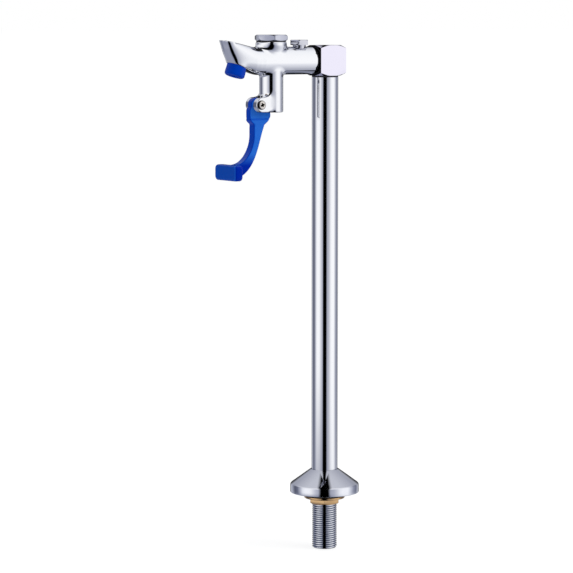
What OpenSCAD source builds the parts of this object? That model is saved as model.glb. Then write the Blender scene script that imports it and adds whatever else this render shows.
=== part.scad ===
// Push-back glass filler faucet. A flange and a threaded shank fix a straight
// riser to the deck, and a square elbow block turns the water forward into a
// head with a self-closing valve. A lever hinged under the head lifts the
// valve stem against its spring while a glass pushes its paddle back.
// Millimetres. The origin is on the riser's axis in the deck plane, +Z is up,
// and the head reaches forward along -Y. Forward distances are from the riser.

/* [Riser] */
// Outer diameter of the riser pipe
pipe_d = 22.2; // [21.6:0.1:24]
// Wall of the riser pipe
pipe_wall = 1.5; // [1:0.1:1.8]
// Height of the riser pipe's top end above the deck
riser_top = 352.8; // [250:0.1:450]
// Thickness of the black ring on top of the pipe
riser_ring_t = 1.2; // [0.8:0.1:2.5]

/* [Deck flange] */
// Diameter of the flange
flange_d = 58.5; // [54:0.5:66]
// Height of the flange's upright rim
flange_rim_h = 7.3; // [5:0.1:9]
// Whole height of the flange
flange_h = 20; // [18:0.1:24]
// Wall of the hollow flange
flange_wall = 2.6; // [2:0.1:3.2]
// Width of the flat around the pipe on top of the flange
flange_lip = 0.7; // [0.5:0.1:1.5]
// Diameter of the threaded hub inside the flange
flange_hub_d = 29; // [27:0.5:33]
// Height in the flange at which the pipe's lower end rests
pipe_seat = 14; // [12:0.5:16]
// Number of ribs under the flange
flange_ribs = 6; // [3:1:8]
// Thickness of each rib
flange_rib_t = 2; // [1.5:0.1:3]
// Thickness of the deck gasket, which lies flush in the flange
gasket_t = 2; // [1:0.1:3]

/* [Shank and deck nut] */
// Outer diameter of the G1/2 shank thread
thread_d = 20.955; // [20:0.005:21]
// Pitch of the thread, whose turns are turned as rings
thread_pitch = 1.814; // [1.4:0.001:2.5]
// Depth of the thread
thread_depth = 1.1; // [0.6:0.1:1.3]
// Width of the flat on the thread's crests
thread_flat = 0.3; // [0.2:0.05:0.5]
// Length of the shank below the deck
shank_below = 48; // [46:1:70]
// Length of the spigot that enters the pipe
spigot_l = 20; // [16:1:30]
// Water bore of the shank
shank_bore_d = 13; // [9:0.5:14]
// Chamfer at the shank's lower end
shank_chamfer = 1; // [0.5:0.1:1.5]
// Diameter of the rubber clamp washer
clamp_d = 33; // [30:0.5:40]
// Thickness of the rubber clamp washer
clamp_t = 3; // [2:0.1:5]
// Diameter of the deck nut's collar
nut_collar_d = 34.4; // [30:0.1:40]
// Thickness of the deck nut's collar
nut_collar_t = 2; // [1.5:0.1:3]
// Width across the flats of the deck nut
nut_af = 24; // [23:0.5:27]
// Height of the deck nut's hexagon
nut_hex_h = 4.7; // [4:0.1:8]
// Turn of the deck nut's hexagon, in degrees
nut_turn = 25; // [0:1:60]

/* [Elbow block] */
// Side of the square elbow block
block = 25.4; // [25:0.1:28]
// Diameter at which the block's turned slopes start
block_turned_d = 26; // [24:0.1:28]
// Slope of the turned ends, in degrees
block_slope = 26; // [10:1:30]
// Outer diameter of the two nipples in the block
nipple_d = 14; // [13:0.1:14.5]
// Wall of the nipples
nipple_wall = 2.3; // [2:0.1:2.6]
// Depth of the nipples in the pipe's insert and in the block
nipple_depth = 5.2; // [4:0.1:5.3]

/* [Head tube] */
// Outer diameter of the head's tube
head_d = 23; // [21.6:0.1:24]
// Width of the dark groove between the block and the head
neck_gap = 1.4; // [1:0.1:2.5]
// Diameter of the dark ring in that groove
neck_ring_d = 20.6; // [18:0.1:21]
// Water bore of the head
head_bore_d = 9.2; // [8.6:0.1:9.4]
// Depth of the threaded mouth for the head nipple
head_mouth = 5; // [4:0.1:5.2]
// Depth of the head's bore from its back end
head_bore_l = 23.5; // [22:0.5:25]

/* [Flow regulator] */
// Forward distance of the regulator
regulator_reach = 26.2; // [26:0.1:28]
// Diameter of the regulator's plug and of the gland's thread
plug_d = 10.9; // [10.4:0.1:11.2]
// Cross hole of the plug
plug_hole_d = 8.2; // [7.5:0.1:8.4]
// Diameter of the regulator's stem
regulator_stem_d = 6; // [5:0.1:6.4]
// Width across the flats of the gland
gland_af = 14.3; // [13:0.1:16]
// Height of the gland's hexagon
gland_h = 4.3; // [3.5:0.1:6]
// Turn of the gland's hexagon, in degrees
gland_turn = -31; // [-60:1:0]
// Height of the neck that shows under the gland
gland_neck = 1.4; // [1:0.1:3]

/* [Valve barrel] */
// Forward distance of the valve's axis
valve_reach = 54; // [53:0.1:58]
// Diameter of the boss under the cap
boss_d = 26.6; // [25.5:0.1:28]
// Height of the boss's top above the head's axis
boss_top = 15.7; // [15:0.1:18]
// Height of the boss's upright side under the cap
boss_side = 2.6; // [2:0.1:4]
// Height over which the boss sweeps in to the barrel
boss_sweep = 12; // [10:0.5:14]
// Diameter of the lower barrel
barrel_d = 19.9; // [18.6:0.1:20.6]
// Depth of the barrel's lower end below the head's axis
barrel_drop = 42.5; // [42:0.1:44]
// Diameter of the chamber above the seat
chamber_d = 16; // [15.6:0.1:17]
// Height of the chamber's floor above the head's axis
chamber_floor = 0.3; // [0:0.1:1]
// Outer diameter of the seat ring
seat_d = 14; // [13.4:0.1:14.4]
// Thickness of the seat ring
seat_t = 2.5; // [2:0.1:2.8]
// Water way through the seat ring
seat_port_d = 8.4; // [7.6:0.1:8.8]
// Height of the seat ring's lip
seat_lip = 0.8; // [0.5:0.1:1.2]
// Diameter of the bore below the seat, which holds the stem guide
guide_bore_d = 11; // [10.6:0.1:11.6]
// Length of the stem guide
guide_l = 13; // [12:0.5:14]
// Thickness of the floor that the stem guide stands on
guide_floor = 3; // [2.5:0.1:3.5]

/* [Hexagon cap] */
// Width across the flats of the cap
cap_af = 24.7; // [23.8:0.1:27]
// Height of the cap's hexagon
cap_h = 5; // [4:0.1:7]
// Turn of the cap's hexagon, in degrees
cap_turn = -19.3; // [-30:0.1:30]
// Thickness of the gasket under the cap
cap_gasket_t = 0.8; // [0.5:0.1:1.5]
// Depth of the cap's threaded spigot
cap_spigot = 4.9; // [4:0.1:5.2]

/* [Valve stem] */
// Diameter of the valve stem
stem_d = 4; // [3.4:0.1:4.2]
// Diameter of the stem's threaded upper end
stem_thread_d = 3; // [2.5:0.1:3]
// Diameter of the collar under the washer
stem_collar_d = 6.4; // [5.8:0.1:6.8]
// Diameter of the seat washer
washer_d = 11.6; // [11:0.1:12]
// Thickness of the seat washer
washer_t = 2; // [1.5:0.1:2.2]
// Diameter of the cup over the washer
disc_d = 12.8; // [12.6:0.1:13.4]
// Thickness of the cup above the washer
disc_t = 2.1; // [1.5:0.1:2.3]
// Width across the flats of the stem nut
stem_nut_af = 5.5; // [5:0.1:6]
// Height of the stem nut
stem_nut_h = 2.4; // [2:0.1:3]
// Wire of the closing spring
spring_wire = 0.9; // [0.7:0.05:1.1]
// Mean diameter of the closing spring
spring_d = 9.2; // [8.8:0.1:9.6]
// Curls of the closing spring
spring_curls = 5; // [3:1:6]

/* [Clevis and pivot] */
// Forward distance of the pivot from the valve's axis
pivot_reach = 15.6; // [15:0.1:17]
// Depth of the pivot below the head's axis
pivot_drop = 36.1; // [36:0.1:37]
// Width over the two ears
clevis_w = 18; // [16.5:0.1:19]
// Width of the slot between the ears
slot_w = 7.2; // [6.8:0.1:7.6]
// Height of the slot above the pivot
slot_h = 7.6; // [7.4:0.1:8]
// Radius of the ears' round ends
ear_r = 6.1; // [5:0.1:6.2]
// Distance of the round ends' centre behind the pivot
ear_back = 1.8; // [0:0.1:2]
// Radius of the sweep from the ears' tops up to the barrel
ear_sweep_r = 14; // [12:0.5:24]
// Diameter of the pivot screw
pivot_d = 5; // [4.6:0.1:5.4]
// Diameter of the screw's thread in the far ear
pivot_thread_d = 4; // [3.6:0.1:4.2]
// Diameter of the pivot screw's head
screw_head_d = 7.8; // [7:0.1:9]
// Height of the pivot screw's head
screw_head_h = 2.4; // [2:0.1:3]

/* [Lever] */
// Thickness of the lever between the ears
lever_t = 6.6; // [6:0.1:6.6]
// Thickness of the lever's arm
arm_t = 8.4; // [7:0.1:10]
// Radius of the lever's knuckle
knuckle_r = 7.4; // [7:0.1:7.5]
// Radius of the nose under the valve stem
nose_r = 2.4; // [2:0.1:2.5]
// Distance of the hub's back behind the pivot
hub_back = 12.9; // [12:0.1:13.4]
// Distance of the hub's front ahead of the pivot
hub_front = 7.3; // [6.8:0.1:7.6]
// Depth of the hub's lower edge below the pivot
hub_drop = 12.7; // [11.5:0.1:14]
// Distance of the arm's back behind the pivot, below the hub
arm_back = 6.7; // [5:0.1:8]
// Distance of the arm's front ahead of the pivot, below the hub
arm_front = 3.8; // [3:0.1:5]
// Width of the paddle
paddle_w = 33; // [28:0.5:40]
// Height of the paddle
paddle_h = 13; // [11:0.1:15]
// Thickness of the paddle
paddle_t = 7.4; // [6:0.1:9]
// Corner radius of the paddle
paddle_r = 3.4; // [2:0.1:5]
// Forward distance of the paddle's face from the pivot
paddle_reach = 29.8; // [27:0.1:34]
// Depth of the paddle's lower edge below the pivot
paddle_drop = 61.8; // [56:0.1:68]
// Radius of the paddle's crowned face
paddle_crown_r = 90; // [60:1:200]

/* [Beak and nozzle] */
// Forward distance at which the beak starts
beak_root = 72; // [71:0.1:74]
// Forward distance of the brow's centre
brow_reach = 95.9; // [94:0.1:98]
// Height of the brow above the head's axis
brow_rise = 16.1; // [15.5:0.1:17]
// Radius of the brow
brow_r = 8; // [7:0.1:9]
// Slope of the brow, in degrees
brow_tilt = 11.5; // [8:0.1:14]
// Forward distance of the beak's face at half its height
face_reach = 91.6; // [90:0.1:93]
// Height of that place above the head's axis
face_rise = 7; // [6:0.1:8]
// Radius of the beak's face there
face_r = 8.8; // [8.2:0.1:9.4]
// Forward distance of the section through the beak's cheeks
cheek_reach = 81; // [80:0.1:83]
// Height of the cheeks' centre above the head's axis
cheek_rise = 2.4; // [2.2:0.1:3]
// Radius of that section
cheek_r = 10.7; // [10.2:0.1:11]
// Forward distance of the nozzle's centre in the beak's mouth
nozzle_reach = 87.8; // [86.5:0.1:89]
// Depth of that centre below the head's axis
nozzle_drop = 4.3; // [3.8:0.1:4.8]
// Radius of the beak's mouth
mouth_r = 8.9; // [8.8:0.1:9.6]
// Slope of the beak's mouth, in degrees
mouth_tilt = 22; // [20:0.1:24]
// Forward lean of the nozzle, in degrees
nozzle_tilt = 18; // [17:0.1:20]
// Outer diameter of the soft tip
tip_d = 16.5; // [15.6:0.1:16.8]
// Length of the soft tip below the mouth
tip_out = 8.7; // [7.5:0.1:12]
// Thickness of the soft tip's floor under that tube
tip_floor = 2.1; // [1.5:0.1:3]
// Length of the soft tip inside the beak
tip_in = 1; // [0.9:0.1:1.5]
// Outer diameter of the tube that holds the tip
stub_d = 10.5; // [9.6:0.1:10.8]
// Water bore of that tube
stub_bore_d = 7.6; // [6.5:0.1:8]
// Depth to which that tube enters the beak
stub_in = 8; // [6:0.5:10]
// Depth of the bore for it
stub_way = 14; // [12.5:0.5:14.5]
// Diameter of the drilled way to the nozzle
outlet_d = 5.8; // [5:0.1:6]
// Diameter of the drilled way to the chamber
inlet_d = 6.4; // [5.5:0.1:6.6]

/* [Clearances] */
// Radial clearance of running fits
run_gap = 0.05; // [0.02:0.01:0.08]
// Radial clearance of threads and pushed-in pieces
thread_gap = 0.05; // [0.02:0.01:0.08]
// Gap between pieces that move against each other
free_gap = 0.3; // [0.2:0.05:0.5]

/* [Hidden] */
$fn = 64;
chrome = "#d5d8de";
brass = "#c3a67c";
steel = "#b4b6ba";
black_rubber = "#26262a";
blue = "#1a56b0";

// Heights and places along the way of the water
pipe_bore = pipe_d - 2 * pipe_wall;
block_z = riser_top + riser_ring_t;
head_z = block_z + block / 2;
block_face = block / 2;
head_back = block_face + neck_gap;
nipple_bore = nipple_d - 2 * nipple_wall;
nipple_hole = nipple_d + 2 * thread_gap;
insert_l = nipple_depth + 8;
thread_hole = thread_d + 2 * run_gap;

// Heights in the valve
boss_z = head_z + boss_top;
cap_z = boss_z + cap_gasket_t;
seat_z = head_z + chamber_floor - seat_t;
washer_z = head_z + chamber_floor + seat_lip + run_gap;
disc_z = washer_z + washer_t;
spring_z = disc_z + disc_t;
cap_roof = cap_z + 0.6 * cap_h;
cap_thread_d = chamber_d - 2 * thread_gap;
spring_pocket_d = spring_d + spring_wire + 1;
pivot_z = head_z - pivot_drop;
pivot_f = valve_reach + pivot_reach;
stem_z = pivot_z + nose_r + free_gap;
slot_top = pivot_z + slot_h;
guide_z = slot_top + guide_floor;
barrel_z = head_z - barrel_drop;
o_ring = 1.24;

// Ends of the two drilled ways, as forward distance and height
inlet_from = [head_back + head_bore_l - 2, head_z + 0.5];
inlet_to = [valve_reach - 7, head_z + 4.3];
outlet_from = [valve_reach, head_z - 9.3];
outlet_to = [nozzle_reach - 3, head_z + 6.3];

// Shapes that several pieces share

// A point of a curve that is steered by four points
function bend(a, b, c, d, t) = pow(1 - t, 3) * a + 3 * t * pow(1 - t, 2) * b
    + 3 * pow(t, 2) * (1 - t) * c + pow(t, 3) * d;

// A tube on the Z axis from z0 to z1
module pipe_piece(d_out, d_in, z0, z1) {
    difference() {
        translate([0, 0, z0]) cylinder(d = d_out, h = z1 - z0);
        translate([0, 0, z0 - 1]) cylinder(d = d_in, h = z1 - z0 + 2);
    }
}

// A ring of round section between two diameters, centred on height z
module o_ring_piece(d_in, d_out, z) {
    translate([0, 0, z])
        rotate_extrude()
            translate([(d_in + d_out) / 4, 0])
                circle(d = (d_out - d_in) / 2, $fn = 24);
}

// A rod along the head from forward distance f0 to f1
module head_rod(d, f0, f1) {
    translate([0, -f0, head_z]) rotate([90, 0, 0]) cylinder(d = d, h = f1 - f0);
}

// A flat outline of (forward, height) points, w wide about the middle plane
module side_sheet(w) {
    rotate([90, 0, -90]) linear_extrude(w, center = true) children();
}

// A drilled way in the middle plane between two (forward, height) points
module drilled_way(from, to, d) {
    run = to[0] - from[0];
    rise = to[1] - from[1];
    translate([0, -from[0], from[1]])
        rotate([90 - atan2(rise, run), 0, 0])
            cylinder(d = d, h = norm([run, rise]));
}

// A hexagon prism with its upper corners turned off, its lower ones or both
module turned_hex(af, h, top, bottom) {
    corner_r = af / 2 / cos(30);
    reach_r = corner_r + 1;
    flat_r = af / 2 - 0.2;
    drop = (reach_r - flat_r) * tan(28);
    intersection() {
        cylinder(r = corner_r, h = h, $fn = 6);
        rotate_extrude()
            polygon([[0, 0], [bottom ? flat_r : reach_r, 0], [reach_r, bottom ? drop : 0],
                [reach_r, top ? h - drop : h], [top ? flat_r : reach_r, h], [0, h]]);
    }
}

// Places a child with its -Z along the nozzle's flow
module nozzle_frame() {
    translate([0, -nozzle_reach, head_z - nozzle_drop]) rotate([-nozzle_tilt, 0, 0]) children();
}

// Deck flange, shank and nut

module base_flange() {
    rim_r = flange_d / 2;
    inner_r = rim_r - flange_wall;
    hub_r = flange_hub_d / 2;
    top_r = pipe_d / 2 + flange_lip;
    edge = 0.6;
    slope = (flange_h - flange_rim_h) / (rim_r - top_r);
    roof_z = flange_rim_h - flange_wall * 0.55;
    color(chrome) difference() {
        rotate_extrude()
            polygon([[0, 0], [rim_r, 0], [rim_r, flange_rim_h - edge], [rim_r - edge, flange_rim_h],
                [top_r, flange_h], [0, flange_h]]);
        translate([0, 0, -1]) cylinder(d = thread_hole, h = flange_h);
        translate([0, 0, pipe_seat]) cylinder(d = pipe_d + 2 * thread_gap, h = flange_h);
        difference() {
            rotate_extrude()
                polygon([[hub_r, -1], [inner_r, -1], [inner_r, roof_z],
                    [hub_r, roof_z + slope * (inner_r - hub_r)]]);
            for (i = [0 : flange_ribs - 1])
                rotate([0, 0, 360 / flange_ribs * i])
                    translate([hub_r - 1, -flange_rib_t / 2, gasket_t])
                        cube([inner_r - hub_r + 2, flange_rib_t, flange_h]);
        }
    }
}

module deck_gasket() {
    color(black_rubber)
        pipe_piece(flange_d - 2 * flange_wall - 2 * thread_gap, flange_hub_d + 2 * thread_gap, 0, gasket_t);
}

module mounting_shank() {
    r = thread_d / 2;
    spigot_r = pipe_bore / 2 - thread_gap;
    groove_r = spigot_r - o_ring;
    thread_z = -shank_below + shank_chamfer;
    turns = floor((pipe_seat - thread_z) / thread_pitch);
    rings = [for (i = [0 : turns - 1]) let(z = thread_z + i * thread_pitch)
        each [[r, z], [r, z + thread_flat], [r - thread_depth, z + (thread_pitch + thread_flat) / 2]]];
    color(chrome) difference() {
        union() {
            rotate_extrude()
                polygon(concat([[0, -shank_below], [r - shank_chamfer, -shank_below]], rings,
                    [[r, thread_z + turns * thread_pitch], [r, pipe_seat], [0, pipe_seat]]));
            cylinder(r = spigot_r, h = pipe_seat + spigot_l);
        }
        translate([0, 0, -shank_below - 1]) cylinder(d = shank_bore_d, h = shank_below + pipe_seat + spigot_l + 2);
        for (z = shank_ring_heights())
            pipe_piece(2 * spigot_r + 2, 2 * groove_r, z - o_ring * 0.6, z + o_ring * 0.6);
    }
}

function shank_ring_heights() = [pipe_seat + spigot_l * 0.35, pipe_seat + spigot_l * 0.7];

module shank_o_rings() {
    color(black_rubber)
        for (z = shank_ring_heights())
            o_ring_piece(pipe_bore - 2 * thread_gap - 2 * o_ring + 0.02, pipe_bore - 0.02, z);
}

module clamp_washer() {
    color(black_rubber) pipe_piece(clamp_d, thread_hole, -clamp_t, 0);
}

module lock_nut() {
    collar_z = -clamp_t - nut_collar_t;
    color(brass) difference() {
        union() {
            translate([0, 0, collar_z]) cylinder(d = nut_collar_d, h = nut_collar_t);
            translate([0, 0, collar_z - nut_hex_h])
                rotate([0, 0, nut_turn])
                    turned_hex(nut_af, nut_hex_h, false, true);
        }
        translate([0, 0, collar_z - nut_hex_h - 1]) cylinder(d = thread_hole, h = 20);
    }
}

// Riser and elbow block

module riser_pipe() {
    color(chrome) pipe_piece(pipe_d, pipe_bore, pipe_seat, riser_top);
}

module riser_top_insert() {
    color(brass)
        pipe_piece(pipe_bore - 2 * thread_gap, nipple_hole, riser_top - insert_l, riser_top);
}

module riser_top_ring() {
    color(black_rubber) pipe_piece(pipe_d, nipple_hole, riser_top, block_z);
}

module block_nipple() {
    color(brass)
        pipe_piece(nipple_d, nipple_bore, riser_top - nipple_depth - 5, block_z + nipple_depth);
}

module elbow_block() {
    reach_r = block;
    start_r = block_turned_d / 2;
    drop = (reach_r - start_r) * tan(block_slope);
    color(chrome) difference() {
        intersection() {
            translate([-block / 2, -block / 2, block_z]) cube(block);
            translate([0, 0, block_z])
                rotate_extrude()
                    polygon([[0, 0], [start_r, 0], [reach_r, drop], [reach_r, block - drop],
                        [start_r, block], [0, block]]);
        }
        translate([0, 0, block_z - 1]) cylinder(d = nipple_hole, h = nipple_depth + 1);
        translate([0, 0, block_z]) cylinder(d = nipple_bore + 0.2, h = block / 2 + nipple_bore / 2);
        head_rod(nipple_hole, block_face - nipple_depth, block_face + 1);
        head_rod(head_bore_d, 0, block_face);
    }
}

module head_nipple() {
    color(brass) difference() {
        head_rod(nipple_d, block_face - nipple_depth, head_back + head_mouth);
        head_rod(nipple_bore, block_face - nipple_depth - 1, head_back + head_mouth + 1);
    }
}

module head_ring() {
    color(black_rubber) difference() {
        head_rod(neck_ring_d, block_face, head_back);
        head_rod(nipple_hole, block_face - 1, head_back + 1);
    }
}

// Head casting

module beak() {
    hull() {
        head_rod(head_d, beak_root, beak_root + 0.2);
        translate([0, 0, cheek_rise]) head_rod(2 * cheek_r, cheek_reach, cheek_reach + 0.2);
        translate([0, -brow_reach, head_z + brow_rise])
            rotate([-brow_tilt, 0, 0])
                translate([0, 0, -0.8]) cylinder(r = brow_r, h = 0.8);
        translate([0, -face_reach, head_z + face_rise])
            cylinder(r = face_r, h = 0.2);
        translate([0, -nozzle_reach, head_z - nozzle_drop])
            rotate([-mouth_tilt, 0, 0])
                cylinder(r = mouth_r, h = 1);
    }
}

// The barrel, whose upper end sweeps out to the boss like a horn
module barrel() {
    edge = 0.6;
    steps = 6;
    low = [barrel_d / 2, boss_z - boss_side - boss_sweep];
    high = [boss_d / 2, boss_z - boss_side];
    sweep = [for (i = [0 : steps]) bend(low, low + [0, boss_sweep / 2], high - [0.6, boss_sweep / 4], high, i / steps)];
    translate([0, -valve_reach, 0])
        rotate_extrude()
            polygon(concat([[0, barrel_z], [barrel_d / 2 - edge, barrel_z], [barrel_d / 2, barrel_z + edge]],
                sweep, [[boss_d / 2, boss_z], [0, boss_z]]));
}

// The two ears before the slot is cut: round ends whose tops sweep up to the barrel
module clevis() {
    end_f = pivot_f - ear_back;
    ear_top = pivot_z + ear_r;
    side_sheet(clevis_w) {
        translate([end_f, pivot_z]) circle(r = ear_r);
        difference() {
            translate([valve_reach, pivot_z - ear_r]) square([end_f - valve_reach, ear_sweep_r]);
            translate([end_f, ear_top + ear_sweep_r]) circle(r = ear_sweep_r, $fn = 128);
        }
    }
}

module head_body() {
    color(chrome) difference() {
        union() {
            head_rod(head_d, head_back, beak_root);
            beak();
            barrel();
            clevis();
        }
        // The way in: the nipple's mouth, the head's bore and the regulator's bore
        head_rod(nipple_hole, head_back - 1, head_back + head_mouth);
        head_rod(head_bore_d, head_back, head_back + head_bore_l);
        translate([0, -regulator_reach, head_z - plug_d / 2 - 0.5])
            cylinder(d = plug_d + 2 * run_gap, h = head_d);
        drilled_way(inlet_from, inlet_to, inlet_d);
        // The valve: chamber, seat, guide bore and the hole for the stem
        translate([0, -valve_reach, 0]) {
            translate([0, 0, head_z + chamber_floor]) cylinder(d = chamber_d, h = boss_top + 1);
            translate([0, 0, seat_z]) cylinder(d = seat_d + 2 * thread_gap, h = boss_top);
            translate([0, 0, guide_z]) cylinder(d = guide_bore_d, h = seat_z - guide_z + 1);
            translate([0, 0, slot_top - 1]) cylinder(d = stem_d + 4 * run_gap, h = guide_z - slot_top + 2);
        }
        // The way out: the drilled way, the nozzle tube's bore and the tip's recess
        drilled_way(outlet_from, outlet_to, outlet_d);
        nozzle_frame() {
            cylinder(d = stub_d + 2 * thread_gap, h = stub_way);
            translate([0, 0, -5]) cylinder(d = tip_d + 2 * thread_gap, h = tip_in + 5);
        }
        // The slot for the lever and the holes of the pivot screw
        translate([-slot_w / 2, -pivot_f - ear_r - 1, barrel_z - 1])
            cube([slot_w, pivot_reach + ear_r + 5, slot_top - barrel_z + 1]);
        translate([0, -pivot_f, pivot_z]) rotate([0, 90, 0]) {
            translate([0, 0, -clevis_w]) cylinder(d = pivot_thread_d + 2 * thread_gap, h = clevis_w);
            cylinder(d = pivot_d + 2 * run_gap, h = clevis_w);
        }
    }
}

// Flow regulator

module at_regulator() {
    translate([0, -regulator_reach, head_z]) children();
}

module regulator_gland() {
    neck_z = head_d / 2 + gland_neck;
    thread_z = plug_d / 2 + 1;
    color(chrome) at_regulator() difference() {
        union() {
            translate([0, 0, thread_z]) cylinder(d = plug_d, h = neck_z - thread_z);
            translate([0, 0, neck_z]) rotate([0, 0, gland_turn]) turned_hex(gland_af, gland_h, true, false);
        }
        cylinder(d = regulator_stem_d + 2 * run_gap, h = 30);
        translate([0, 0, thread_z - 1]) cylinder(d = regulator_stem_d + 2 * o_ring, h = o_ring + 1.2);
    }
}

module regulator_stem() {
    stem_top = head_d / 2 + gland_neck + gland_h - 0.6;
    color(brass) at_regulator() difference() {
        union() {
            translate([0, 0, -plug_d / 2]) cylinder(d = plug_d, h = plug_d + 0.5);
            cylinder(d = regulator_stem_d, h = stem_top);
        }
        rotate([90, 0, 0]) cylinder(d = plug_hole_d, h = plug_d + 2, center = true);
        translate([-regulator_stem_d, -0.5, stem_top - 1.2]) cube([2 * regulator_stem_d, 1, 2]);
    }
}

module regulator_o_ring() {
    color(black_rubber) at_regulator()
        o_ring_piece(regulator_stem_d + 0.08, regulator_stem_d + 2 * o_ring - 0.02, plug_d / 2 + 1.5);
}

// Cap and valve

module at_valve() {
    translate([0, -valve_reach, 0]) children();
}

module hex_cap() {
    color(chrome) at_valve() difference() {
        union() {
            translate([0, 0, cap_z]) rotate([0, 0, cap_turn]) turned_hex(cap_af, cap_h, true, true);
            translate([0, 0, boss_z - cap_spigot])
                cylinder(d = cap_thread_d, h = cap_spigot + cap_gasket_t + 1);
        }
        translate([0, 0, boss_z - cap_spigot - 1])
            cylinder(d = spring_pocket_d, h = cap_roof - boss_z + cap_spigot + 1);
    }
}

module cap_gasket() {
    color(black_rubber) at_valve() pipe_piece(boss_d - 1.6, chamber_d, boss_z, cap_z);
}

// The spring is one tube of wire, wound in rings of points along a helix
spring_rings = 8 * spring_curls;
spring_low = spring_z + spring_wire / 2 + run_gap;
spring_high = cap_roof - spring_wire / 2 - run_gap;
function spring_axis(i) = let(a = 360 * spring_curls * i / spring_rings)
    [spring_d / 2 * cos(a), spring_d / 2 * sin(a), spring_low + (spring_high - spring_low) * i / spring_rings];
function spring_point(i, k) = let(a = 360 * spring_curls * i / spring_rings, b = 60 * k)
    spring_axis(i) + spring_wire / 2 * [cos(b) * cos(a), cos(b) * sin(a), sin(b)];
spring_gap = min([for (i = [0 : spring_rings]) for (j = [i + 6 : 1 : spring_rings])
    norm(spring_axis(i) - spring_axis(j))]) - spring_wire;
echo(spring_gap = spring_gap);

module valve_spring() {
    points = [for (i = [0 : spring_rings]) for (k = [0 : 5]) spring_point(i, k)];
    sides = [for (i = [0 : spring_rings - 1]) for (k = [0 : 5])
        let(a = 6 * i + k, b = 6 * i + (k + 1) % 6) each [[a, b, a + 6], [b, b + 6, a + 6]]];
    low_end = [for (k = [1 : 4]) [0, k + 1, k]];
    high_end = [for (k = [1 : 4]) [6 * spring_rings, 6 * spring_rings + k, 6 * spring_rings + k + 1]];
    color(steel) at_valve() polyhedron(points, concat(sides, low_end, high_end), convexity = 8);
}

module stem_nut() {
    color(brass) at_valve() difference() {
        translate([0, 0, spring_z]) turned_hex(stem_nut_af, stem_nut_h, true, false);
        translate([0, 0, spring_z - 1]) cylinder(d = stem_thread_d + 2 * thread_gap, h = stem_nut_h + 2);
    }
}

module valve_disc() {
    color(brass) at_valve() difference() {
        translate([0, 0, disc_z - washer_t / 2]) cylinder(d = disc_d, h = disc_t + washer_t / 2);
        translate([0, 0, disc_z - washer_t]) cylinder(d = washer_d + 2 * thread_gap, h = washer_t);
        translate([0, 0, disc_z - 1]) cylinder(d = stem_thread_d + 2 * thread_gap, h = disc_t + 2);
    }
}

module seat_washer() {
    color(black_rubber) at_valve()
        pipe_piece(washer_d, stem_thread_d + 2 * thread_gap, washer_z, disc_z);
}

module valve_seat() {
    lip_d = seat_port_d + 1.6;
    color(brass) at_valve() difference() {
        union() {
            translate([0, 0, seat_z]) cylinder(d = seat_d, h = seat_t);
            translate([0, 0, seat_z]) cylinder(d = lip_d, h = seat_t + seat_lip);
        }
        translate([0, 0, seat_z - 1]) cylinder(d = seat_port_d, h = seat_t + seat_lip + 2);
        translate([-seat_d / 2 - 1, -0.75, seat_z + seat_t - 0.6]) cube([(seat_d - lip_d) / 2 + 1, 1.5, 2]);
        translate([lip_d / 2, -0.75, seat_z + seat_t - 0.6]) cube([(seat_d - lip_d) / 2 + 1, 1.5, 2]);
    }
}

module valve_stem() {
    color(steel) at_valve() {
        translate([0, 0, stem_z]) cylinder(d = stem_d, h = washer_z - 1 - stem_z);
        translate([0, 0, washer_z - 1.5]) cylinder(d = stem_collar_d, h = 1.5);
        translate([0, 0, washer_z - 1]) cylinder(d = stem_thread_d, h = spring_z + stem_nut_h + 0.8 - washer_z + 1);
    }
}

function guide_ring_heights() = [guide_z + guide_l * 0.35, guide_z + guide_l * 0.7];

module stem_guide() {
    color(brass) at_valve() difference() {
        pipe_piece(guide_bore_d - 2 * thread_gap, stem_d + 2 * run_gap, guide_z, guide_z + guide_l);
        for (z = guide_ring_heights())
            translate([0, 0, z - o_ring * 0.6]) cylinder(d = stem_d + 2 * o_ring + 0.2, h = o_ring * 1.2);
    }
}

module stem_o_rings() {
    color(black_rubber) at_valve()
        for (z = guide_ring_heights())
            o_ring_piece(stem_d + 2 * run_gap + 0.02, stem_d + 2 * o_ring + 0.16, z);
}

// Lever and its screw. Outlines are (forward, height) from the pivot.

module lever_hub_outline() {
    circle(r = knuckle_r);
    translate([-pivot_reach, 0]) circle(r = nose_r, $fn = 32);
    polygon([[-pivot_reach, nose_r - 0.02], [-pivot_reach, -nose_r + 0.02], [-hub_back, -5],
        [-hub_back, 2.5 - hub_drop], [1.5 - hub_back, -hub_drop], [hub_front, -hub_drop],
        [hub_front, 0], [0, 2], [-6, nose_r - 0.02]]);
}

module lever_arm_outline() {
    steps = 10;
    join = 0.9;
    back_from = [-arm_back, -hub_drop - 3.9];
    front_from = [arm_front, -hub_drop - 12.7];
    back_to = [paddle_reach - paddle_t + 1, -paddle_drop + 0.8];
    front_to = [paddle_reach - paddle_t + 1, -paddle_drop + paddle_h - 0.2];
    back = [for (i = [0 : steps])
        bend(back_from, back_from + [6.2, -12.4], back_to - [22.9, -4], back_to, i / steps)];
    front = [for (i = [steps : -1 : 0])
        bend(front_from, front_from - [0, 9.6], front_to - [12.4, 0.3], front_to, i / steps)];
    polygon(concat([[1.3 - hub_back, join - hub_drop], [1.5 - hub_back, -hub_drop]], back, front,
        [[arm_front, -hub_drop - 3.5], [hub_front, -hub_drop], [hub_front, join - hub_drop]]));
}

// A rectangle about the origin with round corners
module soft_rectangle(w, h, r) {
    square([w - 2 * r, h], center = true);
    square([w, h - 2 * r], center = true);
    for (x = [-1, 1])
        for (y = [-1, 1])
            translate([x * (w / 2 - r), y * (h / 2 - r)]) circle(r = r, $fn = 32);
}

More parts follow.
